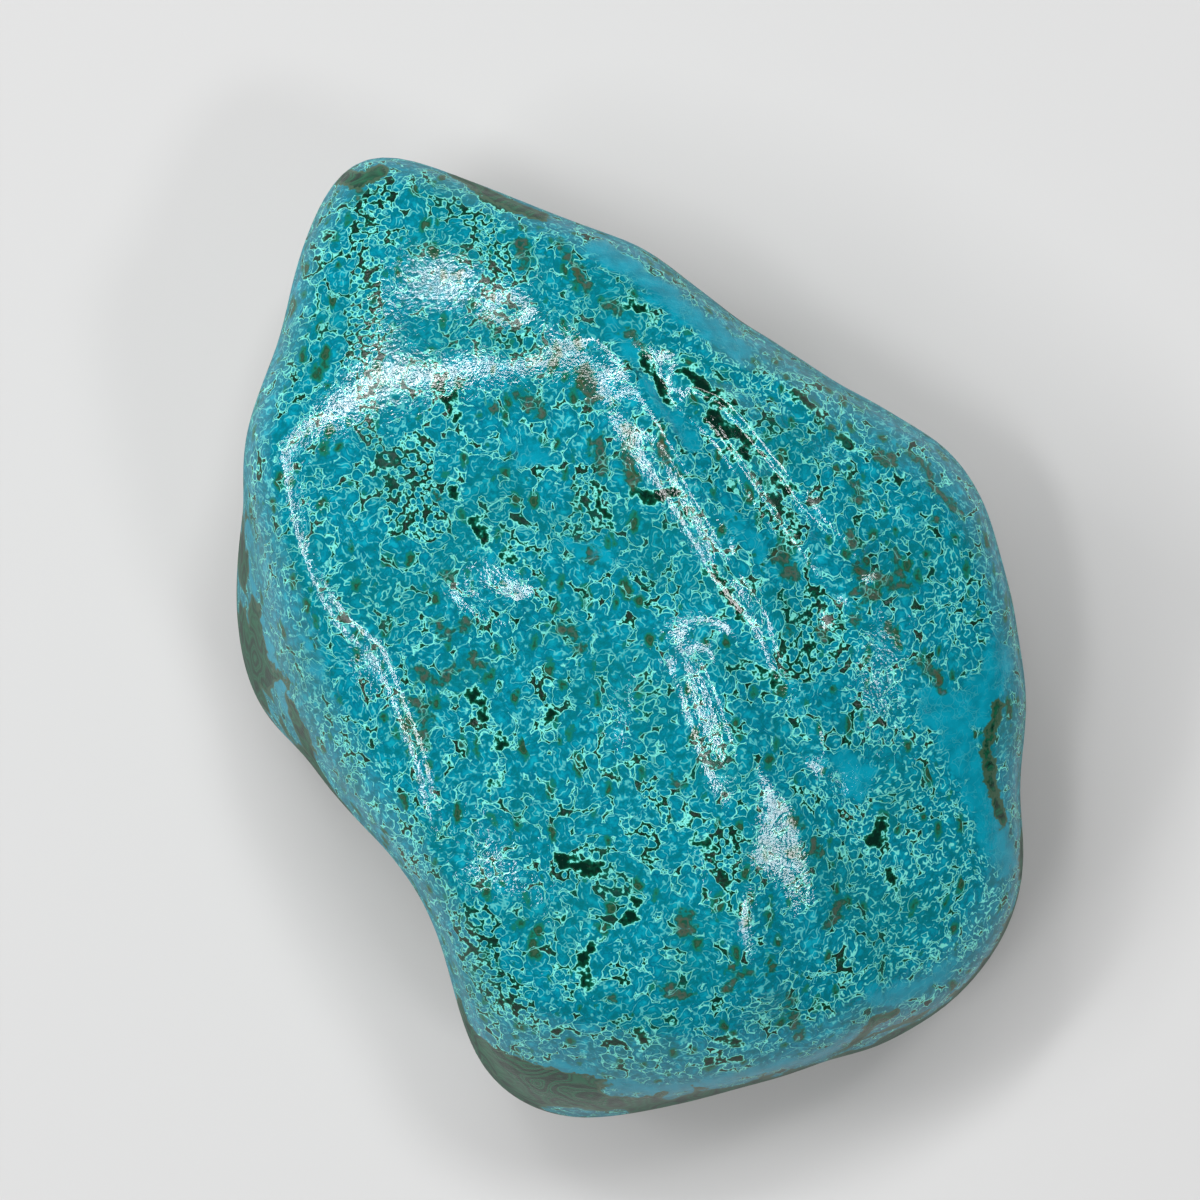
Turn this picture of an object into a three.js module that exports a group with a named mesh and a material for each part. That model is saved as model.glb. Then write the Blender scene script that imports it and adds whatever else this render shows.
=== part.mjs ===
// A polished freeform of chrysocolla grown through with malachite: one solid stone.
// It lies on the ground flat of its back, with the broad face up and the long way along Y.
// Millimetres, +Z up. The origin is on the surface it lies on, under the middle of its box.
import * as THREE from 'three';

// The widest line round the stone, seen from above, before the worn faces are cut:
// [x, y] wherever its run changes.
const EDGE = [
  [45, 9], [42.5, 18], [39, 23], [33, 26.5], [25, 30.5], [19.5, 34], [13, 38], [7, 43],
  [1, 48], [-5, 50], [-11.5, 52.5], [-18.5, 55.5], [-25, 58], [-32, 61], [-36.5, 58.5],
  [-39, 53], [-41.5, 45.5], [-43, 37], [-46.5, 27.5], [-49.5, 19], [-52, 10], [-53, 2],
  [-51.5, -5.5], [-47, -11.5], [-42.5, -14.5], [-37.5, -21.5], [-31, -27.5], [-27, -32.5],
  [-24, -38.5], [-22, -46], [-20, -54], [-15.5, -60.5], [-9.5, -63.5], [3.5, -60],
  [13.5, -56.5], [23.5, -53.5], [31.5, -53], [38, -48.5], [44.5, -42], [47.5, -37],
  [49, -31], [48.5, -21], [51, -11.5], [47.5, -1],
];
const EDGE_EASING = THREE.MathUtils.degToRad(6); // to either side, over which the line is rounded
const CROWN = 23; // from the widest line up to the face
const KEEL = 22; // from the widest line down to the back, as if no flat were ground on it
const FLAT = 20.5; // from the widest line down to the ground flat
const FACE_FULLNESS = 6; // of the section: 2 is an ellipse, and more comes nearer a rectangle
const BACK_FULLNESS = 3;
const CRISPNESS = 13; // of the edges between the worn faces

// Worn faces: azimuth and rise in degrees of the way each one looks, and how far out it lies.
const WORN_FACES = [
  { azimuth: 205, rise: 45, reach: 41 }, // the long bevel on the left
  { azimuth: 98, rise: 69, reach: 32.5 }, // the shoulder that falls away to the tip
  { azimuth: 340, rise: 66, reach: 31 }, // the right of the face
  { azimuth: 55, rise: 48, reach: 36.5 }, // the long edge at the upper right
  { azimuth: 275, rise: 48, reach: 48.5 }, // the foot of the face
  { azimuth: 251, rise: 38, reach: 50.5 }, // the flank of the foot's corner
  { azimuth: 318, rise: 55, reach: 42 },
  { azimuth: 187, rise: 20, reach: 48.5 }, // the flank under the bevel
  { azimuth: 25, rise: -60, reach: 34 }, // five on the back
  { azimuth: 128, rise: -54, reach: 44 },
  { azimuth: 200, rise: -56, reach: 39.5 },
  { azimuth: 262, rise: -60, reach: 40 },
  { azimuth: 325, rise: -57, reach: 40 },
];

// How far the widest line rises and falls on its way round: as many turns, highest at an azimuth.
const WANDERING = [
  { turns: 1, azimuth: 20, height: 3 },
  { turns: 2, azimuth: 75, height: 1.5 },
];

// Ridges (height above 0) and grooves (below 0) of the face: a path in plan and a half width.
const STROKES = [
  { path: [[6.5, 30], [12.5, 26.5], [18.5, 18.5], [25.5, 10.5]], width: 2.8, height: 1.3 },
  { path: [[-0.5, 28], [8, 17], [13, 9], [17, -0.5], [22.5, -12]], width: 3, height: 1 },
  { path: [[4, 30], [10.5, 22.5], [16, 14], [22, 4]], width: 2.8, height: -1.2 },
  { path: [[10.5, 33], [18.5, 30.5], [21.5, 26.5]], width: 2.6, height: 0.8 },
  { path: [[17, 25.5], [23, 18.5]], width: 2.6, height: 0.7 },
  { path: [[3, -0.5], [0.5, -10]], width: 3, height: 0.4 },
  { path: [[8, -1.5], [13, -12], [18.5, -19.5], [22, -31]], width: 3, height: 0.9 },
  {
    path: [[8.5, -4], [11.5, -14], [12.5, -24], [12.5, -34], [14.5, -40]],
    width: 4.5,
    height: 1.4,
  },
  { path: [[6, -6], [9, -16], [13, -26]], width: 2.8, height: -0.5 },
  { path: [[-19, 7], [-14, 4]], width: 2.8, height: 0.6 },
  {
    path: [
      [-41, 23], [-39.5, 11.5], [-34, 2], [-29.5, -1], [-24.5, -14.5], [-22.5, -27.5], [-16, -38.5],
    ],
    width: 3,
    height: 0.8,
  },
  { path: [[-22.5, 39.5]], width: 5.5, height: -1.1 },
  { path: [[-10, 42.5]], width: 3, height: -0.8 },
  { path: [[-14, 37]], width: 3, height: -0.9 },
  { path: [[-16, -38.5]], width: 5, height: -1.5 },
];

// Broad swellings and hollows (height below 0): a centre and a radius.
const SWELLINGS = [
  { at: [-42, 22, 17], radius: 10, height: 2.4 },
  { at: [-38, 6, 19], radius: 8, height: 1.2 },
  { at: [-14, 13, 23], radius: 13, height: -1 },
  { at: [9, -17, 23], radius: 14, height: 1 },
  { at: [-24, -22, 20], radius: 10, height: 0.8 },
  { at: [26, 8, 19], radius: 11, height: 0.8 },
  { at: [50, -12, 4], radius: 9, height: -2.2 },
  { at: [31, -51, 6], radius: 7, height: -2 },
  { at: [-30, -30, 0], radius: 16, height: -2 },
  { at: [20, 40, -10], radius: 18, height: 1.6 },
  { at: [-30, 20, -18], radius: 15, height: -2 },
  { at: [25, -30, -18], radius: 14, height: -1.8 },
];

// The surface is drawn out from the middle through the crossings of a grid on this half box.
const GRID_BOX = [48, 60, 21];
const GRID_CELLS = [34, 41, 13]; // along X, Y and Z

const TURN = 2 * Math.PI;
const EASING_STEPS = 4;

const corners = EDGE.map(([x, y]) => ({ angle: Math.atan2(y, x), radius: Math.hypot(x, y) }));
corners.sort((a, b) => a.angle - b.angle);

// Radius of the widest line at an angle from -180 to 180 degrees, before it is rounded.
function cornerRadius(angle) {
  const next = corners.findIndex((corner) => corner.angle > angle);
  const b = corners[Math.max(next, 0)];
  const a = corners.at(next > 0 ? next - 1 : -1);
  const span = THREE.MathUtils.euclideanModulo(b.angle - a.angle, TURN);
  const along = THREE.MathUtils.euclideanModulo(angle - a.angle, TURN) / span;
  return THREE.MathUtils.lerp(a.radius, b.radius, along);
}

// The same radius averaged over the easing to either side, most of it from near by, so that
// the line has no corners.
function edgeRadius(angle) {
  let sum = 0;
  let weights = 0;
  for (let step = -EASING_STEPS; step <= EASING_STEPS; step += 1) {
    const turned = angle + (step / EASING_STEPS) * EDGE_EASING;
    const weight = 1 + Math.cos((Math.PI * step) / (EASING_STEPS + 1));
    sum += weight * cornerRadius(THREE.MathUtils.euclideanModulo(turned + Math.PI, TURN) - Math.PI);
    weights += weight;
  }
  return sum / weights;
}

// The plain form in a direction: a full section inside the widest line, cut by the worn faces.
function plainPoint(direction) {
  const azimuth = Math.atan2(direction.y, direction.x);
  const outward = Math.hypot(direction.x, direction.y) / edgeRadius(azimuth);
  const [height, fullness] = direction.z > 0 ? [CROWN, FACE_FULLNESS] : [KEEL, BACK_FULLNESS];
  const upward = Math.abs(direction.z) / height;
  let closeness = (outward ** fullness + upward ** fullness) ** (CRISPNESS / fullness);
  for (const face of WORN_FACES) {
    const fromUp = THREE.MathUtils.degToRad(90 - face.rise);
    const turned = THREE.MathUtils.degToRad(face.azimuth);
    const looks = new THREE.Vector3(0, 0, 1).applyEuler(new THREE.Euler(0, fromUp, turned, 'ZYX'));
    closeness += Math.max(0, looks.dot(direction) / face.reach) ** CRISPNESS;
  }
  const point = direction.clone().multiplyScalar(closeness ** (-1 / CRISPNESS));
  for (const wander of WANDERING) {
    const turned = wander.turns * (azimuth - THREE.MathUtils.degToRad(wander.azimuth));
    point.z += wander.height * Math.cos(turned) * (1 - direction.z ** 2) ** 4;
  }
  return point;
}

// Distance in plan from a point to a path, or to a path of one point.
function distanceToPath(point, path) {
  if (path.length === 1) return Math.hypot(point.x - path[0][0], point.y - path[0][1]);
  const flat = new THREE.Vector3(point.x, point.y, 0);
  const nearest = new THREE.Vector3();
  const distances = path.slice(1).map((end, i) => {
    const run = new THREE.Line3(new THREE.Vector3(...path[i], 0), new THREE.Vector3(...end, 0));
    return run.closestPointToPoint(flat, true, nearest).distanceTo(flat);
  });
  return Math.min(...distances);
}

function bell(distance, width) {
  return Math.exp(-((distance / width) ** 2));
}

// A point of the finished surface: the plain form with its relief, and the back ground flat.
function stonePoint(direction) {
  const plain = plainPoint(direction);
  const point = plain.clone();
  const share = Math.max(0, plain.z / CROWN) ** 2;
  for (const stroke of STROKES) {
    point.z += share * stroke.height * bell(distanceToPath(plain, stroke.path), stroke.width);
  }
  for (const swelling of SWELLINGS) {
    const near = bell(plain.distanceTo(new THREE.Vector3(...swelling.at)), swelling.radius);
    point.addScaledVector(direction, swelling.height * near);
  }
  point.z = Math.max(point.z, -FLAT);
  return point;
}

// The whole surface, closed: each crossing on the half box's six sides gives one vertex.
function stoneGeometry() {
  const positions = [];
  const triangles = [];
  const numberOf = new Map();

  function surfaceAt(crossing) {
    const reached = crossing.map((step, axis) => (2 * step / GRID_CELLS[axis] - 1) * GRID_BOX[axis]);
    return stonePoint(new THREE.Vector3(...reached).normalize());
  }

  function vertex(crossing) {
    const key = crossing.join();
    if (!numberOf.has(key)) {
      numberOf.set(key, numberOf.size);
      positions.push(surfaceAt(crossing));
    }
    return numberOf.get(key);
  }

  // How far the straight line between two corners passes from the true surface in its middle.
  function miss(a, b, middle) {
    return new THREE.Vector3().addVectors(positions[a], positions[b]).multiplyScalar(0.5).distanceTo(middle);
  }

  for (const axis of [0, 1, 2]) {
    const across = (axis + 1) % 3;
    const along = (axis + 2) % 3;
    for (const side of [0, GRID_CELLS[axis]]) {
      for (let u = 0; u < GRID_CELLS[across]; u += 1) {
        for (let v = 0; v < GRID_CELLS[along]; v += 1) {
          const crossing = (i, j) => {
            const steps = [side, side, side];
            steps[across] = i;
            steps[along] = j;
            return steps;
          };
          const quad = [[u, v], [u + 1, v], [u + 1, v + 1], [u, v + 1]].map(([i, j]) => vertex(crossing(i, j)));
          if (side === 0) quad.reverse();
          const [a, b, c, d] = quad;
          const middle = surfaceAt(crossing(u + 0.5, v + 0.5));
          const bridgesBD = miss(b, d, middle) < miss(a, c, middle);
          triangles.push(...(bridgesBD ? [a, b, d, b, c, d] : [a, b, c, a, c, d]));
        }
      }
    }
  }

  const geometry = new THREE.BufferGeometry().setFromPoints(positions);
  geometry.setIndex(triangles);
  geometry.computeVertexNormals();
  return geometry;
}

const stone = new THREE.Mesh(
  stoneGeometry(),
  new THREE.MeshStandardMaterial({ color: 0x12899b, roughness: 0.16, metalness: 0 }),
);
stone.name = 'chrysocolla_stone';

const box = new THREE.Box3().setFromObject(stone);
const middle = box.getCenter(new THREE.Vector3());
stone.position.set(-middle.x, -middle.y, -box.min.z);

const specimen = new THREE.Group();
specimen.add(stone);

export default specimen;
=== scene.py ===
"""A polished freeform of chrysocolla and malachite, lying face up on a pale table and seen from above."""
import math

import bpy
import numpy as np
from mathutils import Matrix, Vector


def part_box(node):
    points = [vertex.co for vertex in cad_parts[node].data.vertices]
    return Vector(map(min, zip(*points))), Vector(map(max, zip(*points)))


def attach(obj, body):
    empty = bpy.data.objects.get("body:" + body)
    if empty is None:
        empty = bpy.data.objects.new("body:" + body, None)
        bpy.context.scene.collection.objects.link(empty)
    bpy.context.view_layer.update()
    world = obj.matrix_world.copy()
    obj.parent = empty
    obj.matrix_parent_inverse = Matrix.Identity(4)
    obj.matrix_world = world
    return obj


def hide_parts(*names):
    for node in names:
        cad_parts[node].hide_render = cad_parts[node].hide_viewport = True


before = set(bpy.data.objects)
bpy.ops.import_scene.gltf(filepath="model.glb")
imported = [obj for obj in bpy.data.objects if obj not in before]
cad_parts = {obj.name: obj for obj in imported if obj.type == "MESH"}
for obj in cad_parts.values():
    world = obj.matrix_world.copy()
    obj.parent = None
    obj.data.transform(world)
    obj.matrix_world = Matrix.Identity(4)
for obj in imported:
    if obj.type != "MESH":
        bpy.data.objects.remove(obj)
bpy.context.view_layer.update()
scene = bpy.context.scene


# The view
# The camera hangs over the stone and looks straight down on its face. Its picture is 150 mm
# wide at the height of the stone's widest line.
WIDEST_LINE = 0.0205  # height of the widest line over the table
CAMERA_DISTANCE = 0.370  # from the widest line
PICTURE_WIDTH = 0.150
PICTURE_MIDDLE = (-0.0034, 0.0052)  # beside the middle of the stone
SENSOR_WIDTH = 36  # in millimetres, as the lens is

camera = bpy.data.objects.new("camera", bpy.data.cameras.new("camera"))
camera.location = (*PICTURE_MIDDLE, WIDEST_LINE + CAMERA_DISTANCE)
camera.data.sensor_width = SENSOR_WIDTH
camera.data.lens = SENSOR_WIDTH * CAMERA_DISTANCE / PICTURE_WIDTH
scene.collection.objects.link(camera)
scene.camera = camera
scene.view_settings.view_transform = "Standard"


# The table
# A plain pale top under the stone, wide enough to fill every low view.
TABLE_SIZE = 6.0
TABLE_GREY, TABLE_ROUGHNESS = 0.61, 0.7

corners = np.array([(-1, -1, 0), (1, -1, 0), (1, 1, 0), (-1, 1, 0)]) * TABLE_SIZE / 2
table_mesh = bpy.data.meshes.new("table")
table_mesh.from_pydata(corners.tolist(), [], [(0, 1, 2, 3)])
table = bpy.data.objects.new("table", table_mesh)
scene.collection.objects.link(table)
matt_grey = bpy.data.materials.new("matt_pale_grey")
matt_grey.use_nodes = True
table_shader = matt_grey.node_tree.nodes["Principled BSDF"]
table_shader.inputs["Base Color"].default_value = (TABLE_GREY, TABLE_GREY, TABLE_GREY, 1)
table_shader.inputs["Roughness"].default_value = TABLE_ROUGHNESS
table_mesh.materials.append(matt_grey)


# The studio light
# Soft boxes hang round the stone over low pale walls, and the ceiling stays dim, so that the
# polish shows the boxes on the shoulder, the crest and the ridges and leaves the rest clear.
BOX_DISTANCE = 3.6
ROOM_RADIANCE, WALL_RADIANCE = 0.06, 0.6
WALL_TOP, CEILING = math.sin(math.radians(9)), math.sin(math.radians(15))


def soft_box(name, azimuth, rise, width, height, radiance):
    """An area light on a ball round the stone, its width and height in degrees as the stone
    sees them: x, y, z are the distance times the cosine and sine of the azimuth, flattened by
    the cosine of the rise, and the sine of the rise."""
    light = bpy.data.objects.new(name, bpy.data.lights.new(name, "AREA"))
    turn, lift = math.radians(azimuth), math.radians(rise)
    light.location = (
        BOX_DISTANCE * math.cos(lift) * math.cos(turn),
        BOX_DISTANCE * math.cos(lift) * math.sin(turn),
        BOX_DISTANCE * math.sin(lift),
    )
    light.rotation_euler = (math.pi / 2 - lift, 0, turn + math.pi / 2)
    light.data.shape = "RECTANGLE"
    light.data.size = math.radians(width) * BOX_DISTANCE
    light.data.size_y = math.radians(height) * BOX_DISTANCE
    light.data.energy = radiance * math.pi * light.data.size * light.data.size_y
    scene.collection.objects.link(light)


soft_box("strip_behind", 95, 56, 33, 4.8, 18)
soft_box("strip_behind_left", 140, 54, 38, 4.8, 18)
soft_box("strip_left", 185, 46, 43, 3.8, 24)
soft_box("box_over_left", 200, 67, 16, 5.5, 20)
soft_box("box_right", 60, 58, 9.5, 10.5, 20)
soft_box("box_front", 322, 50, 12.5, 7.6, 15)

room = bpy.data.worlds.new("room")
room.use_nodes = True
room_nodes, room_links = room.node_tree.nodes, room.node_tree.links
direction = room_nodes.new("ShaderNodeSeparateXYZ")
room_links.new(room_nodes.new("ShaderNodeTexCoord").outputs["Generated"], direction.inputs["Vector"])
fall = room_nodes.new("ShaderNodeMapRange")
fall.interpolation_type = "SMOOTHSTEP"
fall.inputs["From Min"].default_value = WALL_TOP
fall.inputs["From Max"].default_value = CEILING
fall.inputs["To Min"].default_value = WALL_RADIANCE
fall.inputs["To Max"].default_value = ROOM_RADIANCE
room_links.new(direction.outputs["Z"], fall.inputs["Value"])
room_links.new(fall.outputs["Result"], room_nodes["Background"].inputs["Strength"])
room_nodes["Background"].inputs["Color"].default_value = (1, 1, 1, 1)
scene.world = room


# The stone
# One piece of chrysocolla grown through with malachite, ground to shape and tumbled to a gloss.
# Its surface is drawn out from the middle in every direction, with all measures in millimetres.
EDGE = np.array([  # the widest line from above, before the worn faces are cut
    [45, 9], [42.5, 18], [39, 23], [33, 26.5], [25, 30.5], [19.5, 34], [13, 38], [7, 43],
    [1, 48], [-5, 50], [-11.5, 52.5], [-18.5, 55.5], [-25, 58], [-32, 61], [-36.5, 58.5],
    [-39, 53], [-41.5, 45.5], [-43, 37], [-46.5, 27.5], [-49.5, 19], [-52, 10], [-53, 2],
    [-51.5, -5.5], [-47, -11.5], [-42.5, -14.5], [-37.5, -21.5], [-31, -27.5], [-27, -32.5],
    [-24, -38.5], [-22, -46], [-20, -54], [-15.5, -60.5], [-9.5, -63.5], [3.5, -60],
    [13.5, -56.5], [23.5, -53.5], [31.5, -53], [38, -48.5], [44.5, -42], [47.5, -37],
    [49, -31], [48.5, -21], [51, -11.5], [47.5, -1],
])
EDGE_EASING = math.radians(6)
EASING_STEPS = 4
CROWN, KEEL, FLAT = 23, 22, 20.5  # up to the face, down to the back, down to the ground flat
FACE_FULLNESS, BACK_FULLNESS = 6, 3
CRISPNESS = 13
WORN_FACES = [  # azimuth, rise, reach
    (205, 45, 41), (98, 69, 32.5), (340, 66, 31), (55, 48, 36.5), (275, 48, 48.5),
    (251, 38, 50.5), (318, 55, 42), (187, 20, 48.5), (25, -60, 34), (128, -54, 44),
    (200, -56, 39.5), (262, -60, 40), (325, -57, 40),
]
WANDERING = [(1, 20, 3), (2, 75, 1.5)]  # turns, azimuth, height
CREST = [[-41, 23], [-39.5, 11.5], [-34, 2], [-29.5, -1], [-24.5, -14.5], [-22.5, -27.5], [-16, -38.5]]
STROKES = [  # path in plan, half width, height
    ([[6.5, 30], [12.5, 26.5], [18.5, 18.5], [25.5, 10.5]], 2.8, 1.3),
    ([[-0.5, 28], [8, 17], [13, 9], [17, -0.5], [22.5, -12]], 3, 1),
    ([[4, 30], [10.5, 22.5], [16, 14], [22, 4]], 2.8, -1.2),
    ([[10.5, 33], [18.5, 30.5], [21.5, 26.5]], 2.6, 0.8),
    ([[17, 25.5], [23, 18.5]], 2.6, 0.7),
    ([[3, -0.5], [0.5, -10]], 3, 0.4),
    ([[8, -1.5], [13, -12], [18.5, -19.5], [22, -31]], 3, 0.9),
    ([[8.5, -4], [11.5, -14], [12.5, -24], [12.5, -34], [14.5, -40]], 4.5, 1.4),
    ([[6, -6], [9, -16], [13, -26]], 2.8, -0.5),
    ([[-19, 7], [-14, 4]], 2.8, 0.6),
    (CREST, 3, 0.8),
    ([[-22.5, 39.5]], 5.5, -1.1),
    ([[-10, 42.5]], 3, -0.8),
    ([[-14, 37]], 3, -0.9),
    ([[-16, -38.5]], 5, -1.5),
    # from here on too fine for the plain solid: the sharp lines on the ridges' tops
    ([[7, 29], [10.5, 28], [12.5, 25], [15, 21.5], [17, 19], [19, 15], [22.5, 11.5], [25, 9.5]], 1.5, 0.8),
    ([[11.5, 32], [15.5, 31], [18.5, 30], [21, 27]], 1.2, 0.5),
    ([[-4.5, 35.5], [0, 31], [2, 28], [3.5, 24], [7, 16.5], [9.5, 12], [11, 9]], 1.3, 0.45),
    ([[11, 9], [16, 3], [17.5, -3], [21.5, -11]], 1.3, 0.45),
    ([[-19, 5.5], [-17.5, 4.5], [-14.5, 4]], 1.3, 0.4),
]
SWELLINGS = [  # centre, radius, height
    ([-42, 22, 17], 10, 2.4), ([-38, 6, 19], 8, 1.2),
    ([-14, 13, 23], 13, -1), ([9, -17, 23], 14, 1), ([-24, -22, 20], 10, 0.8),
    ([26, 8, 19], 11, 0.8), ([50, -12, 4], 9, -2.2), ([31, -51, 6], 7, -2),
    ([-30, -30, 0], 16, -2), ([20, 40, -10], 18, 1.6), ([-30, 20, -18], 15, -2),
    ([25, -30, -18], 14, -1.8),
]
GRID_BOX = np.array([48, 60, 21])
GRID_CELLS = (150, 185, 66)  # cells of about 0.65 mm
MM = 0.001
NEARLY_ZERO = 1e-9  # keeps a path of one point from dividing by nothing


def box_grid(cells):
    """Crossings and quads of a grid over the six sides of a box. Each side is a plane of two
    parameters, and crossings that sides share are merged by their running number."""
    strides = np.array([(cells[1] + 1) * (cells[2] + 1), cells[2] + 1, 1])
    quads = []
    for axis in range(3):
        across, along = (axis + 1) % 3, (axis + 2) % 3
        u, v = np.meshgrid(np.arange(cells[across] + 1), np.arange(cells[along] + 1), indexing="ij")
        for side in (0, cells[axis]):
            number = side * strides[axis] + u * strides[across] + v * strides[along]
            ring = [number[:-1, :-1], number[1:, :-1], number[1:, 1:], number[:-1, 1:]]
            quads.append(np.stack(ring if side else ring[::-1], axis=-1).reshape(-1, 4))
    numbers, quads = np.unique(np.concatenate(quads), return_inverse=True)
    steps = np.stack(np.unravel_index(numbers, [c + 1 for c in cells]), axis=-1)
    return steps, quads.reshape(-1, 4)


def edge_radius(azimuth):
    """Radius of the widest line: straight runs in polar form between the edge's points, averaged
    over the easing to either side with the weights of a raised cosine."""
    angles, radii = np.arctan2(EDGE[:, 1], EDGE[:, 0]), np.hypot(EDGE[:, 0], EDGE[:, 1])
    order = np.argsort(angles)
    steps = np.arange(-EASING_STEPS, EASING_STEPS + 1)
    weights = 1 + np.cos(np.pi * steps / (EASING_STEPS + 1))
    turned = azimuth[:, None] + steps / EASING_STEPS * EDGE_EASING
    return np.interp(turned, angles[order], radii[order], period=2 * np.pi) @ weights / weights.sum()


def plain_form(directions):
    """The distance out in a direction is the power mean of a full section inside the widest
    line and of every worn face's plane. The widest line then wanders up and down."""
    azimuth = np.arctan2(directions[:, 1], directions[:, 0])
    upper = directions[:, 2] > 0
    fullness = np.where(upper, FACE_FULLNESS, BACK_FULLNESS)
    outward = np.hypot(directions[:, 0], directions[:, 1]) / edge_radius(azimuth)
    upward = np.abs(directions[:, 2]) / np.where(upper, CROWN, KEEL)
    closeness = (outward**fullness + upward**fullness) ** (CRISPNESS / fullness)
    for turn, rise, reach in WORN_FACES:
        turn, rise = math.radians(turn), math.radians(rise)
        looks = [math.cos(rise) * math.cos(turn), math.cos(rise) * math.sin(turn), math.sin(rise)]
        closeness += np.maximum(0, directions @ looks / reach) ** CRISPNESS
    points = directions * (closeness ** (-1 / CRISPNESS))[:, None]
    for turns, highest, height in WANDERING:
        wave = np.cos(turns * (azimuth - math.radians(highest)))
        points[:, 2] += height * wave * (1 - directions[:, 2] ** 2) ** 4
    return points


def distance_to_path(points, path):
    """Distance in plan to the nearest run of a path, or to a path of one point."""
    path = np.array(path, float)
    starts, ends = (path, path) if len(path) == 1 else (path[:-1], path[1:])
    nearest = np.full(len(points), np.inf)
    for start, end in zip(starts, ends):
        run = end - start
        along = np.clip((points[:, :2] - start) @ run / max(run @ run, NEARLY_ZERO), 0, 1)
        nearest = np.minimum(nearest, np.linalg.norm(points[:, :2] - start - along[:, None] * run, axis=1))
    return nearest


def bell(distance, width):
    """One in the middle, falling as exp of minus the square of distance over width."""
    return np.exp(-((distance / width) ** 2))


def stone_surface(directions):
    """The plain form, raised by each stroke on its face and each swelling in space, with the
    back cut off at the ground flat."""
    plain = plain_form(directions)
    points = plain.copy()
    on_face = np.maximum(0, plain[:, 2] / CROWN) ** 2
    for path, width, height in STROKES:
        points[:, 2] += on_face * height * bell(distance_to_path(plain, path), width)
    for centre, radius, height in SWELLINGS:
        near = bell(np.linalg.norm(plain - centre, axis=1), radius)
        points += directions * (height * near)[:, None]
    points[:, 2] = np.maximum(points[:, 2], -FLAT)
    return points


steps, quads = box_grid(GRID_CELLS)
reached = (2 * steps / np.array(GRID_CELLS) - 1) * GRID_BOX
surface = stone_surface(reached / np.linalg.norm(reached, axis=1)[:, None])
low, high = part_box("chrysocolla_stone")
own_middle = (surface.min(axis=0) + surface.max(axis=0)) / 2
shift = np.array([(low.x + high.x) / 2, (low.y + high.y) / 2, low.z + FLAT * MM])
shift[:2] -= own_middle[:2] * MM

stone_mesh = bpy.data.meshes.new("chrysocolla_surface")
stone_mesh.from_pydata((surface * MM + shift).tolist(), [], quads.tolist())
stone_mesh.shade_smooth()
stone = bpy.data.objects.new("chrysocolla_surface", stone_mesh)
scene.collection.objects.link(stone)


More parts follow.
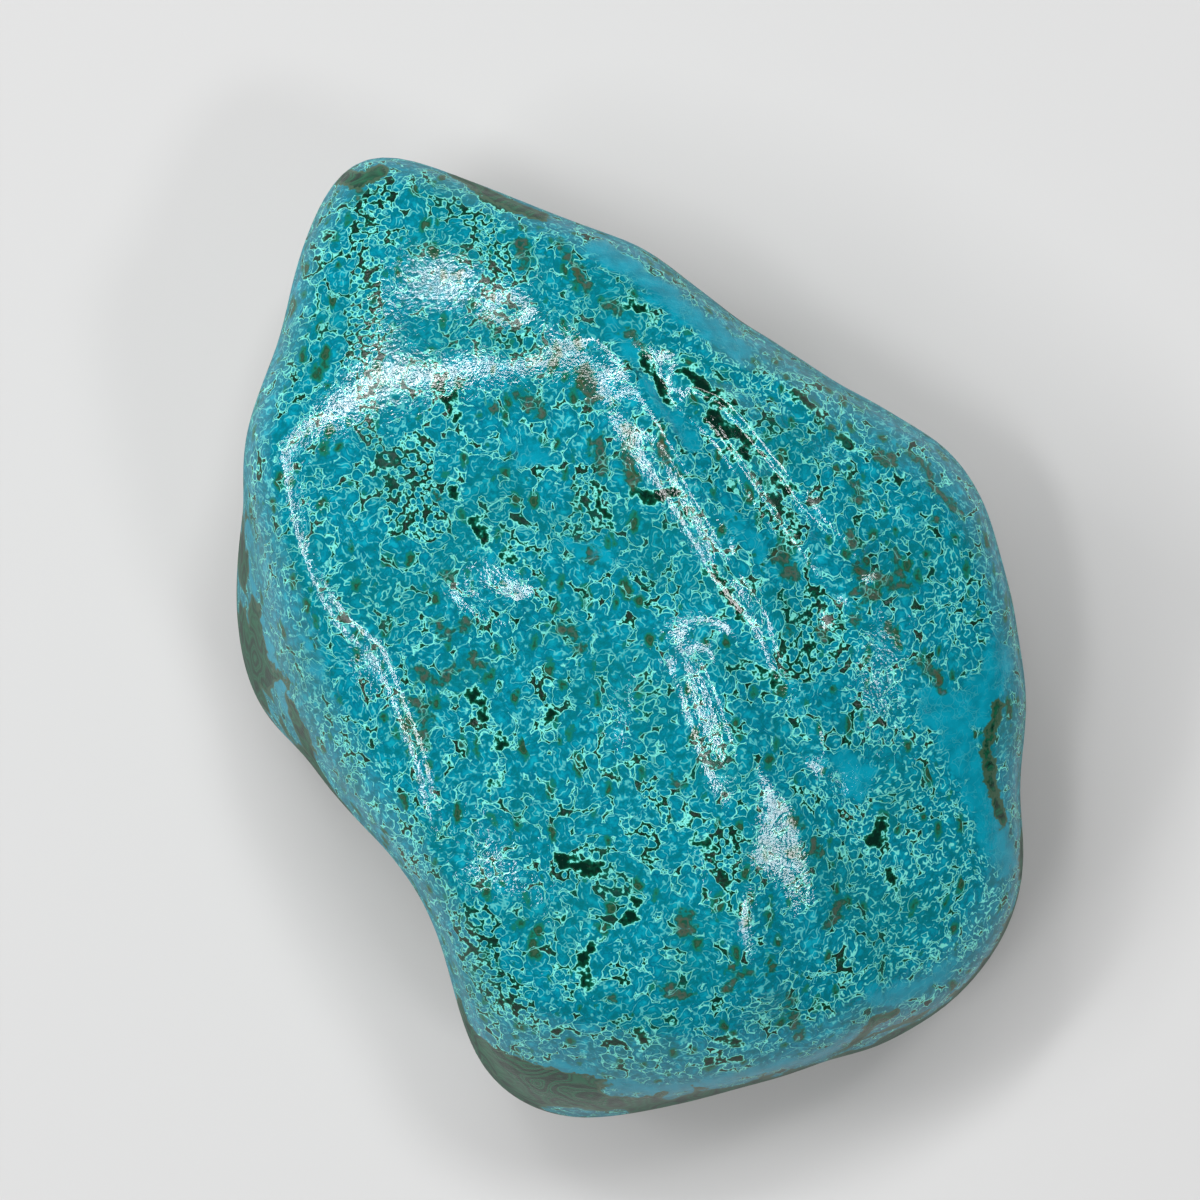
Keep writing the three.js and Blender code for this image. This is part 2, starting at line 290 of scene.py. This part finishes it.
# The stone's zones
# Where dark kernels, stains, fine beads, dashes, clear blue and malachite grew: each zone is
# strokes, a path with heights and a half width. The mesh keeps how far inside each zone it
# lies, how far under the top of the dark green lower flanks, which are partly real malachite and
# partly painted shade, and how steep it is.
ZONES = {
    "kernels": [
        ([[-37, 48.5, 11.5]], 0.7), ([[-24.5, 33, 19], [-23, 29.5, 20.5], [-21, 26, 21.5]], 0.5),
        ([[-22.5, 31.5, 20], [-20.5, 27.5, 21]], 0.45), ([[-19, 14, 22], [-17, 11, 22]], 0.6),
        ([[-0.5, 39.5, 18.5], [2, 38.5, 18.5]], 0.6),
        ([[1, 33.5, 20.5], [2.5, 30.5, 21], [4, 28, 21.5]], 0.7),
        ([[6, 31.5, 21], [8.5, 29, 22], [11.5, 27, 22]], 0.9),
        ([[9, 26, 21.5], [11, 24, 21.5], [13.5, 23.5, 22.5]], 1.1),
        ([[11.5, 22, 21.5], [15, 21, 23]], 0.7), ([[16.5, 18.5, 23], [18, 17.5, 23.5]], 0.9),
        ([[19.5, 28.5, 18.5], [20.5, 27, 19]], 0.9), ([[9, 8, 23], [11, 5, 23.5]], 0.7),
        ([[11.5, 4, 23.5], [13, 2.5, 23.5]], 0.55), ([[6.5, 14.5, 23.5]], 0.9),
        ([[0, 17, 22.5], [2, 16.5, 22.5], [5, 17, 23.5]], 0.75),
        ([[-4.5, 18, 22.5], [-4, 15.5, 22.5], [-2.5, 13.5, 22.5]], 0.5), ([[-21, 17, 22]], 0.7),
        ([[-15, 9.5, 22], [-13.5, 8.5, 22]], 0.5), ([[-19, -6.5, 22.5], [-18, -9, 23]], 0.8),
        ([[-15.5, -12.5, 23]], 1), ([[-10, -9, 23]], 0.8), ([[-16.5, -17, 23]], 0.8),
        ([[-8.5, -26, 23], [-4.5, -27, 23]], 1), ([[0, -31.5, 23], [-0.5, -33, 22.5]], 0.8),
        ([[-4.5, -35.5, 22.5], [-6, -37.5, 22], [-6, -39, 22], [-5.5, -41.5, 21.5]], 0.6),
        ([[-8.5, -33, 22.5]], 0.6), ([[0.5, -47, 18.5], [1.5, -48.5, 17.5]], 0.7),
        ([[10.5, -48, 17], [12.5, -48.5, 16]], 0.6), ([[9, -51, 15]], 0.7),
        ([[12.5, -50.5, 14.5]], 0.7), ([[-9, -47, 17.5]], 0.6),
        ([[14.5, -4, 23.5], [16.5, -5, 23.5]], 0.6), ([[18.5, 15, 22.5], [19, 14, 22.5]], 0.6),
        ([[7, -23.5, 24], [9.5, -25, 23]], 0.7), ([[12, -31.5, 22.5], [14.5, -34, 21]], 0.6),
        ([[24.5, 23.5, 19.5], [25.5, 23, 19.5]], 0.8), ([[-17.5, 53, 11.5], [-15, 52, 12.5]], 1),
        ([[29.5, -22.5, 18], [28.5, -24.5, 18]], 1), ([[30.5, -28.5, 16.5], [31.5, -30, 15.5]], 0.6),
    ],
    "stains": [
        ([[-6, 31, 21.5], [-5, 28.5, 22]], 1.2), ([[-13.5, 28.5, 21.5], [-11, 26.5, 21.5]], 0.85),
        ([[-4, 23, 22.5], [-4, 19.5, 22.5]], 0.9),
        ([[-0.5, 24, 23], [-1, 21, 22.5], [0, 18, 22.5]], 0.8),
        ([[3, 22.5, 23.5], [5, 19.5, 23.5]], 0.7), ([[17, 10, 22.5], [18.5, 7.5, 22.5]], 1.1),
        ([[25.5, 12, 24], [26, 10, 23.5]], 0.8), ([[26, 8, 23], [29, 7, 22]], 0.7),
        ([[30.5, 10, 21.5], [31.5, 7.5, 21.5], [29.5, 6.5, 22], [32.5, 6, 21]], 0.6),
        ([[26.5, 5.5, 22.5], [28, 5, 22]], 1), ([[26, 2.5, 22]], 0.85),
        ([[30, 1.5, 21.5], [30.5, 0.5, 21]], 0.7), ([[18, 1, 23.5]], 0.9),
        ([[22, 1, 22.5], [22.5, 0, 22.5]], 0.8),
        ([[34, -3, 19.5], [36, -4.5, 18.5], [36.5, -6, 18]], 0.75),
        ([[29, 21.5, 18.5], [30.5, 21, 18.5]], 1.1),
        ([[32.5, 22, 17], [35, 20.5, 16.5], [35.5, 18, 17.5], [37.5, 16.5, 17.5], [39, 14.5, 17]], 0.65),
        ([[36, 14, 19]], 0.6), ([[25.5, 18, 21.5], [26.5, 16.5, 22]], 0.8),
        ([[23.5, 25, 19], [24.5, 23.5, 19.5]], 0.6),
        ([[-8.5, 47, 15], [-7, 44, 16.5], [-5.5, 41.5, 18]], 0.7),
        ([[-3, 39.5, 18.5], [-2, 39, 19]], 0.7), ([[-1, 36, 19.5], [1, 34, 20.5]], 0.6),
        ([[-33.5, 53, 11], [-33.5, 54.5, 10]], 0.7), ([[-13.5, 47, 15.5], [-13, 44.5, 16.5]], 0.8),
        ([[-21, 43, 17]], 0.6), ([[-23, 16.5, 22]], 0.7), ([[-22, 7.5, 22.5]], 0.7),
        ([[-23, 2, 22.5], [-21.5, -0.5, 22.5]], 0.6), ([[-20.5, 1.5, 22.5], [-19, 1.5, 22.5]], 0.6),
        ([[-25.5, -4, 22.5], [-23.5, -5.5, 22.5], [-21, -4, 22.5]], 0.7),
        ([[-19, -2.5, 22.5], [-18, -3.5, 22.5]], 0.7),
        ([[-27, -7, 22.5], [-24.5, -8, 22.5], [-24.5, -11, 22.5], [-25, -13, 22.5]], 0.7),
        ([[-5, 9.5, 22.5]], 1.1), ([[-8.5, 1.5, 22.5], [-6.5, -1, 23]], 0.7), ([[5, -17, 23.5]], 0.8),
        ([[4, -41.5, 21], [6, -42, 20.5]], 0.9), ([[-2.5, -42.5, 21]], 0.6),
        ([[6, -32.5, 23], [6, -34.5, 22.5]], 1), ([[13, -20, 22.5], [13, -21, 22.5]], 0.9),
        ([[16, -21.5, 22.5]], 0.8), ([[19, -21.5, 22.5]], 0.7), ([[15.5, -24.5, 22]], 0.75),
        ([[18.5, -25, 22], [19.5, -26, 21.5]], 0.7), ([[21.5, -24, 21.5], [21.5, -25.5, 21]], 0.7),
        ([[14, -14, 24]], 0.7), ([[24.5, -31.5, 18.5], [23.5, -34, 18.5]], 0.8),
        ([[18.5, -43, 17.5], [19, -45.5, 16], [20, -48, 14.5]], 0.8),
        ([[15, -37, 20.5], [16, -39, 20], [15, -40.5, 19.5]], 0.45),
        ([[11.5, -37.5, 21.5], [12, -40, 21], [11, -41.5, 20.5]], 0.5),
        ([[13.5, -39, 21], [14, -41, 20]], 0.4), ([[-16.5, 27, 21.5]], 0.8), ([[-32.5, 23.5, 20]], 0.6),
        ([[-37, 28.5, 18]], 0.8), ([[-31.5, 54, 11]], 0.5),
    ],
    "beads": [
        ([
            [-30, 56.5, 9.5], [-30.5, 54, 11.5], [-32.5, 51.5, 12], [-33, 48.5, 13],
            [-32.5, 45.5, 14.5], [-32.5, 42.5, 15.5], [-32.5, 39.5, 16.5], [-31.5, 34.5, 18],
        ], 1.1),
        ([[-31.5, 31, 19], [-31.5, 27, 20], [-31, 23.5, 20.5], [-29, 20, 21], [-28, 16.5, 21.5]], 0.9),
        ([[-26, 22, 21.5], [-26.5, 17.5, 21.5], [-27, 15, 21.5], [-24.5, 13.5, 22]], 2.2),
        ([[-32.5, 40.5, 16], [-31.5, 34.5, 18]], 2.2),
        ([[-16.5, 40, 18.5], [-14.5, 36, 19.5], [-12.5, 34, 20.5]], 2),
        ([[10.5, -24, 22.5], [11, -27, 22.5]], 2), ([[9, -12.5, 23], [10, -14, 23]], 1.8),
        ([[-19, -33.5, 20.5], [-18.5, -39.5, 18], [-14, -44.5, 18]], 2.6),
        ([[-7.5, -27, 23], [-4.5, -26, 23], [-3, -28.5, 23]], 1.8),
        ([[1.5, -17.5, 23.5], [3, -20, 24]], 1.2),
        ([[21.5, 3.5, 22], [22.5, -1, 22.5], [19, -2.5, 23.5]], 2.4),
        ([[15.5, 16.5, 22], [19, 13, 22.5]], 1.6),
        ([[-6, 19, 22.5], [-4.5, 13.5, 22.5], [-7, 13, 22]], 1.5),
        ([[-21, 51.5, 13], [-18, 48.5, 15], [-16.5, 44, 17]], 1.3),
    ],
    "dashes": [
        ([[25, -20, 20], [31.5, -32.5, 15], [26.5, -39.5, 15.5]], 5),
        ([[37.5, -26.5, 14], [41.5, -33, 10], [35.5, -37.5, 12]], 5),
        ([[31, -18, 18], [38.5, -21.5, 14.5]], 3.5),
        ([[7.5, 33, 20], [14.5, 31, 19.5], [21.5, 27.5, 18.5]], 2.5),
        ([[-39.5, 15.5, 18], [-42, 8.5, 14.5]], 2), ([[-36, 6.5, 20], [-30.5, 3.5, 21.5]], 3),
        ([[37, 8.5, 19.5], [39.5, 1, 18]], 2.5), ([[25, -1, 22], [33.5, -13, 18]], 2),
        ([[-37, -8.5, 15.5], [-28, -19, 19.5], [-24.5, -27, 19]], 2.5),
    ],
    "clear": [
        ([[-46.5, 17.5, 8], [-45, 12, 10.5], [-41.5, 8.5, 15], [-38, 2.5, 17], [-36.5, -2.5, 17.5]], 2.2),
        ([[-46, 8.5, 8.5], [-43.5, -2.5, 9.5], [-40.5, -10.5, 10]], 1.6),
        ([[36, -8.5, 18], [40.5, -8.5, 16], [44, -3, 14.5]], 2.6),
        ([[38.5, -12, 16], [41.5, -17, 13.5], [44, -23, 11], [45.5, -27, 9]], 2.4),
        ([[-9.5, -52.5, 12], [-4.5, -53.5, 11.5], [1.5, -55, 10.5], [7.5, -55, 10]], 1.8),
        ([[7.5, -55, 10], [15, -52.5, 12], [21, -51.5, 10], [26, -49, 10]], 1.4),
        ([[29, -43.5, 12.5], [33.5, -43.5, 10.5], [38.5, -40.5, 9]], 1.2),
        ([[25, -15, 21], [27, -17.5, 20]], 1.9),
        ([[-4, 47, 14], [0, 43.5, 15.5], [6, 39, 16.5], [12.5, 34, 17.5]], 1.9),
        ([[-2, 37, 19.5], [0, 32.5, 21], [3.5, 27, 22], [7, 22.5, 22.5]], 1),
        ([[12, 14, 23.5], [15, 10, 23.5]], 0.9), ([[-16.5, 8, 22.5], [-14, 7, 22.5]], 0.8),
        ([[-4.5, 10, 22.5], [-7, 11, 22.5]], 1), ([[-14, 22.5, 22], [-9.5, 21, 22]], 0.9),
    ],
    "malachite": [
        ([[50, -9, 3]], 3.0),
        ([[-35.5, 56.5, 6.5], [-33.5, 55.5, 9.5], [-31, 56.5, 9]], 1.1),
        ([[-21, 56, 7.5], [-16.5, 53.5, 11], [-11.5, 51, 12]], 1.3),
        ([[27.5, -49.5, 7.5], [29.5, -47, 10], [31.5, -46, 9]], 0.8),
        ([[44, -8.5, 14], [42.5, -13, 14], [43.5, -18, 12.5], [45, -22.5, 10.5]], 0.6),
    ],
}
REACH_OF_ZONES = 4  # how far outside a stroke the mesh still knows of it
MALACHITE_AND_RIM_SHADE_TOP = [  # azimuth, height: below this line the stone is dark green, partly real malachite and partly painted shade
    (0, 6), (20, 2), (45, 6), (65, 9), (90, 6), (115, 2), (135, 5), (160, 8), (180, 10), (200, 10),
    (225, 8), (245, 10), (260, 11), (280, 9), (300, 7), (320, 3), (340, 5),
]


def depth_in_strokes(points, strokes):
    """The half width less the distance in space to the nearest run, the greatest of all strokes."""
    deepest = np.full(len(points), -float(REACH_OF_ZONES))
    for path, width in strokes:
        path = np.array(path, float)
        starts, ends = (path, path) if len(path) == 1 else (path[:-1], path[1:])
        for start, end in zip(starts, ends):
            run = end - start
            along = np.clip((points - start) @ run / max(run @ run, NEARLY_ZERO), 0, 1)
            off = np.linalg.norm(points - start - along[:, None] * run, axis=1)
            deepest = np.maximum(deepest, width - off)
    return deepest


azimuths = np.degrees(np.arctan2(surface[:, 1], surface[:, 0])) % 360
malachite_and_rim_shade_top = np.interp(azimuths, *np.array(MALACHITE_AND_RIM_SHADE_TOP).T, period=360)
for zone, strokes in ZONES.items():
    depth = depth_in_strokes(surface, strokes)
    stone_mesh.attributes.new(zone, "FLOAT", "POINT").data.foreach_set("value", depth)
# Painted shade: the lower flanks under this wandering line turn dark green, partly real malachite.
under_malachite_and_rim_shade_top = malachite_and_rim_shade_top - surface[:, 2]
stone_mesh.attributes.new("under", "FLOAT", "POINT").data.foreach_set("value", under_malachite_and_rim_shade_top)

normals = np.empty((len(surface), 3), np.float32)
stone_mesh.vertex_normals.foreach_get("vector", normals.ravel())
steepness = 1 - normals[:, 2]
stone_mesh.attributes.new("steepness", "FLOAT", "POINT").data.foreach_set("value", steepness)


# The stone's pattern
# Round grown cells of blue chrysocolla with pale mint skins, and dark malachite in what space
# the cells left between them, with black green deep in the gaps that is partly painted shade.
# The sizes are in millimetres.
def linear(red, green, blue):
    """A colour seen on a screen, from 0 to 255, as the light it stands for."""
    shares = (red / 255, green / 255, blue / 255)
    return (*(((s + 0.055) / 1.055) ** 2.4 if s > 10 / 255 else s / 12.92 for s in shares), 1)


BLUE = linear(0, 129, 150)
DEEP_BLUE = linear(0, 98, 122)
CYAN = linear(16, 182, 204)
TEAL = linear(0, 104, 112)
MINT = linear(126, 232, 218)
HALO_GREEN = linear(16, 118, 98)
DARK_GREEN = linear(4, 66, 46)
# Black green: the darkest malachite and kernels, and partly painted shade deep in the gaps.
BLACK_GREEN_AND_GAP_SHADE = linear(0, 36, 26)
LEAF_GREEN = linear(16, 96, 66)
OLIVE = linear(56, 88, 66)
BROWN = linear(76, 76, 56)
MOSS = linear(26, 74, 52)
LEAF_TEAL = linear(6, 104, 96)
SKY_BLUE = linear(4, 150, 174)

polish = bpy.data.materials.new("polished_chrysocolla")
polish.use_nodes = True
nodes, links = polish.node_tree.nodes, polish.node_tree.links
shader = nodes["Principled BSDF"]


def add(kind, settings=(), **inputs):
    """A shader node with its settings and its inputs, each a value or another node's output."""
    made = nodes.new(kind)
    for name, value in dict(settings).items():
        setattr(made, name, value)
    for name, value in inputs.items():
        socket = made.inputs[int(name[1:]) if name[1:].isdigit() else name.replace("_", " ")]
        if isinstance(value, bpy.types.NodeSocket):
            links.new(value, socket)
        else:
            socket.default_value = value
    return made


def maths(operation, a, b=0.0, c=0.0):
    """One sum on numbers that vary over the stone."""
    return add("ShaderNodeMath", {"operation": operation}, i0=a, i1=b, i2=c).outputs[0]


def vectors(operation, a, b):
    """One sum on vectors that vary over the stone."""
    return add("ShaderNodeVectorMath", {"operation": operation}, i0=a, i1=b).outputs[0]


def ramp(value, low, high, at_low=0.0, at_high=1.0):
    """Goes smoothly from one value at low to another at high, and stays there beyond."""
    settings = {"interpolation_type": "SMOOTHSTEP"}
    return add("ShaderNodeMapRange", settings, Value=value, From_Min=low, From_Max=high,
               To_Min=at_low, To_Max=at_high).outputs["Result"]


def blend(share, a, b):
    """Colour a where the share is 0 and b where it is 1."""
    return add("ShaderNodeMix", {"data_type": "RGBA"}, i0=share, i6=a, i7=b).outputs[2]


def noise(place, size, detail=2.0, colour=False):
    """Smooth noise from 0 to 1, with features about as wide as size in millimetres."""
    made = add("ShaderNodeTexNoise", Vector=place, Scale=1 / size, Detail=detail)
    return made.outputs["Color" if colour else "Fac"]


def cells(place, spacing):
    """Distance in millimetres to the nearest of many scattered centres, and a colour that
    differs from centre to centre."""
    made = add("ShaderNodeTexVoronoi", Vector=place, Scale=1 / spacing)
    return maths("MULTIPLY", made.outputs["Distance"], spacing), made.outputs["Color"]


def layers(value, *stops):
    """Colours laid over one another like the coats of an agate, each at its depth in millimetres."""
    low, high = stops[0][0], stops[-1][0]
    share = maths("DIVIDE", maths("SUBTRACT", value, low), high - low)
    made = add("ShaderNodeValToRGB", Fac=share)
    coats = made.color_ramp.elements
    coats[0].color, coats[1].color = stops[0][1], stops[-1][1]
    for depth, colour in stops[1:-1]:
        coats.new((depth - low) / (high - low)).color = colour
    return made.outputs["Color"]


def zone_share(name, softness, roughness_of_edge):
    """How much a spot belongs to a zone of the mesh, with the zone's edge made ragged by noise."""
    depth = add("ShaderNodeAttribute", {"attribute_name": name}).outputs["Fac"]
    depth = maths("MULTIPLY_ADD", maths("SUBTRACT", tatter, 0.5), roughness_of_edge, depth)
    return ramp(depth, -softness, softness)


IN_MM = (1000, 1000, 1000)
MIDDLE = (0.5, 0.5, 0.5)  # of a noise
MEANDER_REACH, WOBBLE_REACH = (3.0, 3.0, 3.0), (0.5, 0.5, 0.5)

place = vectors("MULTIPLY", add("ShaderNodeTexCoord").outputs["Object"], IN_MM)
meander = vectors("SUBTRACT", noise(place, 7, 1, colour=True), MIDDLE)
wobble = vectors("SUBTRACT", noise(place, 1.4, 1, colour=True), MIDDLE)
grown = vectors("ADD", place, vectors("MULTIPLY", meander, MEANDER_REACH))
grown = vectors("ADD", grown, vectors("MULTIPLY", wobble, WOBBLE_REACH))
tatter = noise(place, 2.0, 2)
grit = maths("SUBTRACT", noise(place, 0.4, 2), 0.5)

# The grown cells: lobes, balls that the lobes grew over, and beads in the gaps between.
LOBE_SPACING, BALL_SPACING, BEAD_SPACING = 1.5, 1.2, 0.8
BALLS_ASIDE = (17.0, 5.0, 31.0)  # so that no ball has a lobe's centre

crowding = noise(place, 4.0, 1)
fine = zone_share("beads", 0.8, 2.5)
lobes, _ = cells(grown, LOBE_SPACING)
in_lobes = maths("SUBTRACT", maths("MULTIPLY_ADD", crowding, 1.3, 0.37), lobes)
in_lobes = maths("MULTIPLY_ADD", fine, -0.9, in_lobes)
balls, _ = cells(vectors("ADD", grown, BALLS_ASIDE), BALL_SPACING)
in_balls = maths("SUBTRACT", maths("MULTIPLY_ADD", fine, -0.5, 0.62), balls)
beads, _ = cells(grown, BEAD_SPACING)
in_beads = maths("SUBTRACT", maths("MULTIPLY_ADD", fine, 0.2, 0.2), beads)
others = maths("MAXIMUM", in_balls, in_beads)
over = maths("GREATER_THAN", in_lobes, -0.06)
inside = maths("MULTIPLY_ADD", over, maths("SUBTRACT", in_lobes, others), others)
cloud = noise(place, 1.1, 2)
stretch = ramp(cloud, 0.3, 0.7, 1.8, 0.8)
unrest = maths("MULTIPLY", grit, ramp(inside, -0.1, 0.0, 1.0, 0.15))
ragged = maths("MULTIPLY_ADD", inside, stretch, unrest)

# Deep in the gaps between cells the colour falls to black green, which is partly painted shade.
colour = layers(
    ragged,
    (-0.4, BLACK_GREEN_AND_GAP_SHADE), (-0.14, DARK_GREEN), (-0.06, HALO_GREEN), (-0.02, MINT), (0.01, MINT),
    (0.07, BLUE), (0.18, DEEP_BLUE), (0.3, BLUE), (0.5, BLUE),
)
swirl = noise(grown, 1.0, 1)
coats = maths("PINGPONG", maths("MULTIPLY", swirl, 5), 0.5)
waves = layers(coats, (0.0, DEEP_BLUE), (0.15, BLUE), (0.4, BLUE), (0.5, SKY_BLUE))
colour = blend(maths("MULTIPLY", ramp(inside, 0.08, 0.2), 0.7), colour, waves)
heart = maths("MULTIPLY", ramp(inside, 0.3, 0.9), ramp(cloud, 0.45, 0.6))
colour = blend(maths("MULTIPLY", heart, 0.5), colour, CYAN)
shade = maths("MULTIPLY", ramp(inside, 0.05, 0.2), ramp(cloud, 0.5, 0.3))
colour = blend(maths("MULTIPLY", shade, 0.75), colour, TEAL)

# Dashes: short mint lines that wander through the blue where the growth is finest.
dashed = ramp(maths("ABSOLUTE", maths("SUBTRACT", swirl, 0.5)), 0.04, 0.015)
dashed = maths("MULTIPLY", dashed, ramp(cloud, 0.42, 0.5))
dashed = maths("MULTIPLY", dashed, ramp(inside, 0.05, 0.15))
dashed = maths("MULTIPLY", dashed, maths("MULTIPLY_ADD", zone_share("dashes", 1.5, 3.0), 0.5, 0.4))
colour = blend(dashed, colour, MINT)

# Some patches a few millimetres wide are greener.
wander = noise(place, 9, 3)
colour = blend(ramp(wander, 0.45, 0.65, 0.0, 0.25), colour, LEAF_TEAL)

# Clear blue where nothing else grew.
clear = zone_share("clear", 0.6, 5.0)
colour = blend(maths("MULTIPLY", clear, 0.9), colour, blend(ramp(tatter, 0.3, 0.7), BLUE, SKY_BLUE))

# Kernels: green and olive cores that the blue grew round, drawn out along the stone.
KERNEL_SPACING = 2.0
KERNEL_TURN = (0.0, 0.0, math.radians(35))
KERNEL_STRETCH = (1.0, 0.55, 1.0)

spot = add("ShaderNodeMapping", Vector=grown, Rotation=KERNEL_TURN, Scale=KERNEL_STRETCH)
eyes, eye_tint = cells(spot.outputs["Vector"], KERNEL_SPACING)
eye_share = add("ShaderNodeSeparateColor", Color=eye_tint)
kernel = maths("SUBTRACT", maths("MULTIPLY_ADD", eye_share.outputs["Red"], 0.85, -0.15), eyes)
kernel = maths("MULTIPLY_ADD", maths("SUBTRACT", cloud, 0.5), 1.0, kernel)
kernel = maths("MULTIPLY_ADD", grit, 0.5, kernel)
kernel = maths("MULTIPLY_ADD", clear, -1.0, kernel)
kernel_colours = layers(
    kernel, (-0.35, BLUE), (-0.2, TEAL), (0.0, HALO_GREEN), (0.2, MOSS), (0.35, OLIVE), (0.5, MOSS),
)
in_kernel = maths("MULTIPLY", ramp(kernel, -0.35, -0.05), ramp(inside, -0.05, 0.1))
colour = blend(in_kernel, colour, kernel_colours)


def zone_depth(name, roughness_of_edge):
    """How deep a spot lies in a zone, in millimetres, with the zone's edge made ragged by noise."""
    depth = add("ShaderNodeAttribute", {"attribute_name": name}).outputs["Fac"]
    depth = maths("MULTIPLY_ADD", maths("SUBTRACT", cloud, 0.5), roughness_of_edge, depth)
    return maths("MULTIPLY_ADD", grit, 0.5, depth)


# The mesh's zones: dark kernels with a mint skin, and olive and brown stains.
dark = zone_depth("kernels", 3.5)
dark_colours = layers(
    dark, (-0.3, TEAL), (-0.08, MINT), (0.0, MINT),
    (0.12, HALO_GREEN), (0.3, DARK_GREEN), (0.7, BLACK_GREEN_AND_GAP_SHADE),
)
colour = blend(ramp(dark, -0.3, 0.0), colour, dark_colours)
stain = zone_depth("stains", 3.5)
stain_colours = layers(
    stain, (-0.4, TEAL), (0.0, HALO_GREEN), (0.3, MOSS), (0.5, OLIVE), (0.8, BROWN), (1.1, MOSS),
)
stained = maths("MULTIPLY", ramp(stain, -0.4, 0.3), ramp(inside, -0.1, 0.25, 0.5, 0.9))
colour = blend(stained, colour, stain_colours)

# Malachite: banded green under the blue, with pockets of blue in it, and in a few spots of the
# face. Under the blue it darkens the lower flanks all round, partly as real malachite and partly
# as painted shade. Its border wanders up and down by half its wandering to either side.
RIM_SHADE_AND_MALACHITE_WANDERING = 14.0
POCKETS_ASIDE = (31.0, 7.0, 5.0)

under = maths("MULTIPLY_ADD", maths("SUBTRACT", wander, 0.5), RIM_SHADE_AND_MALACHITE_WANDERING, zone_depth("under", 3.0))
pockets = maths("SUBTRACT", 0.6, noise(vectors("ADD", place, POCKETS_ASIDE), 8, 2))
pockets = maths("MULTIPLY", pockets, RIM_SHADE_AND_MALACHITE_WANDERING)
# This mask holds the real malachite and the painted shade of the lower flanks together.
malachite = maths("MAXIMUM", zone_depth("malachite", 2.0), maths("MINIMUM", under, pockets))
bands = maths("PINGPONG", maths("MULTIPLY", noise(place, 6, 1), 8), 0.5)
banded = layers(bands, (0.0, BLACK_GREEN_AND_GAP_SHADE), (0.2, DARK_GREEN), (0.35, LEAF_GREEN), (0.5, DARK_GREEN))
skin = layers(malachite, (-0.5, HALO_GREEN), (-0.2, OLIVE), (0.1, OLIVE), (0.3, DARK_GREEN))
banded = blend(ramp(malachite, 0.1, 0.5), skin, banded)
colour = blend(ramp(malachite, -0.5, -0.2), colour, banded)

# The polish: a fine ripple that follows the cells, satin in the gaps and on steep flanks.
RIPPLE_DEPTH = 0.00003  # in metres
REFRACTIVE_INDEX = 1.46

ripple = noise(grown, 0.35, 1)
height = maths("MULTIPLY_ADD", cloud, 1.6, ripple)
relief = add("ShaderNodeBump", Height=height, Distance=RIPPLE_DEPTH, Strength=1.0)

links.new(colour, shader.inputs["Base Color"])
links.new(relief.outputs["Normal"], shader.inputs["Normal"])
steep = add("ShaderNodeAttribute", {"attribute_name": "steepness"}).outputs["Fac"]
gloss = maths("MAXIMUM", ramp(inside, -0.3, 0.0, 0.28, 0.08), ramp(steep, 0.3, 0.75, 0.0, 0.6))
links.new(gloss, shader.inputs["Roughness"])
shader.inputs["IOR"].default_value = REFRACTIVE_INDEX
stone_mesh.materials.append(polish)

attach(stone, "root")
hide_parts("chrysocolla_stone")
